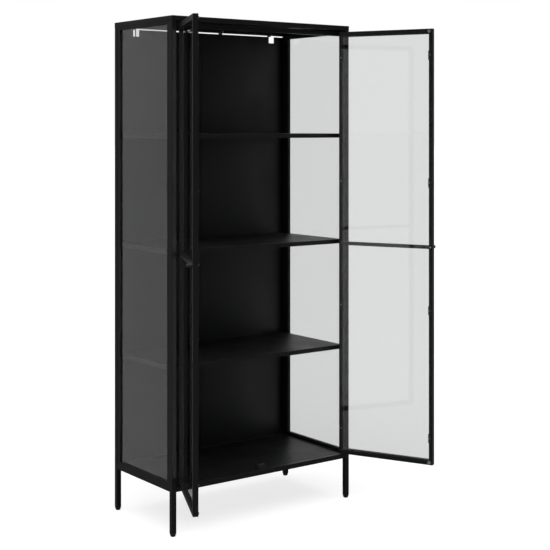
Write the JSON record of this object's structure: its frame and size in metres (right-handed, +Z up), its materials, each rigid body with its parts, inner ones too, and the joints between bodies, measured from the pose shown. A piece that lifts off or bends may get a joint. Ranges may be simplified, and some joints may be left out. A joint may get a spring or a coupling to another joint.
{
  "type": "tower display case",
  "caption": "Tall glazed display cabinet: black square-tube steel frame on short legs, sheet shelves and back, glass sides and hinged glass doors.",
  "frame": {"origin": "on the floor, under the centre of the cabinet without its open doors", "axes": "+Z up, +X to the right seen from the front, +Y from the doors to the back"},
  "size_m": [1.0874, 0.7422, 1.8],
  "materials": {
    "black_frame": "satin black powder coat on steel tube",
    "black_sheet": "fine-textured matt black powder coat on folded sheet",
    "clear_glass": "clear 4 mm glass with ground edges",
    "black_plastic": "moulded black plastic",
    "glazing_rubber": "black extruded rubber",
    "bright_zinc": "bright zinc plated",
    "bright_nickel": "nickel plated",
    "black_hardware": "black coated steel"
  },
  "bodies": {
    "cabinet": {"back_bottom_rail": "black_frame", "back_joint_strip": "black_sheet", "back_left_foot": "black_plastic", "back_left_post": "black_frame", "back_panel_left": "black_sheet", "back_panel_right": "black_sheet", "back_panel_screws": "bright_zinc", "back_right_foot": "black_plastic", "back_right_post": "black_frame", "back_top_rail": "black_frame", "bottom_door_stop": "black_plastic", "bottom_panel": "black_sheet", "door_stop_screws": "bright_zinc", "front_bottom_rail": "black_frame", "front_left_foot": "black_plastic", "front_left_post": "black_frame", "front_right_foot": "black_plastic", "front_right_post": "black_frame", "front_top_rail": "black_frame", "header_screws": "bright_zinc", "header_stop": "black_frame", "left_bottom_rail": "black_frame", "left_glazing_bead": "glazing_rubber", "left_hinge_pins": "black_hardware", "left_hinge_post_leaves": "black_hardware", "left_post_leaf_screws": "black_hardware", "left_side_frame": "black_frame", "left_side_glass": "clear_glass", "left_top_rail": "black_frame", "lower_shelf": "black_sheet", "middle_shelf": "black_sheet", "right_bottom_rail": "black_frame", "right_glazing_bead": "glazing_rubber", "right_hinge_pins": "black_hardware", "right_hinge_post_leaves": "black_hardware", "right_post_leaf_screws": "black_hardware", "right_side_frame": "black_frame", "right_side_glass": "clear_glass", "right_top_rail": "black_frame", "shelf_screws": "bright_zinc", "top_panel": "black_sheet", "upper_shelf": "black_sheet"},
    "left_door": {"left_clip_screws": "bright_zinc", "left_door_frame": "black_frame", "left_door_glass": "clear_glass", "left_door_leaf_screws": "black_hardware", "left_door_magnets": "bright_nickel", "left_glass_clips": "black_plastic", "left_hinge_door_leaves": "black_hardware", "left_knob": "black_hardware", "left_knob_screw": "bright_zinc"},
    "right_door": {"right_clip_screws": "bright_zinc", "right_door_frame": "black_frame", "right_door_glass": "clear_glass", "right_door_leaf_screws": "black_hardware", "right_door_magnets": "bright_nickel", "right_glass_clips": "black_plastic", "right_hinge_door_leaves": "black_hardware", "right_knob": "black_hardware", "right_knob_screw": "bright_zinc"}
  },
  "joints": [
    {"name": "left_door_hinge", "type": "hinge", "parent": "cabinet", "child": "left_door", "pos_m": [-0.3685, -0.2, 0.9735], "axis": [0, 0, 1], "range_deg": [0, 115.5]},
    {"name": "right_door_hinge", "type": "hinge", "parent": "cabinet", "child": "right_door", "pos_m": [0.3685, -0.2, 0.9735], "axis": [0, 0, 1], "range_deg": [-115.5, 0]}
  ]
}
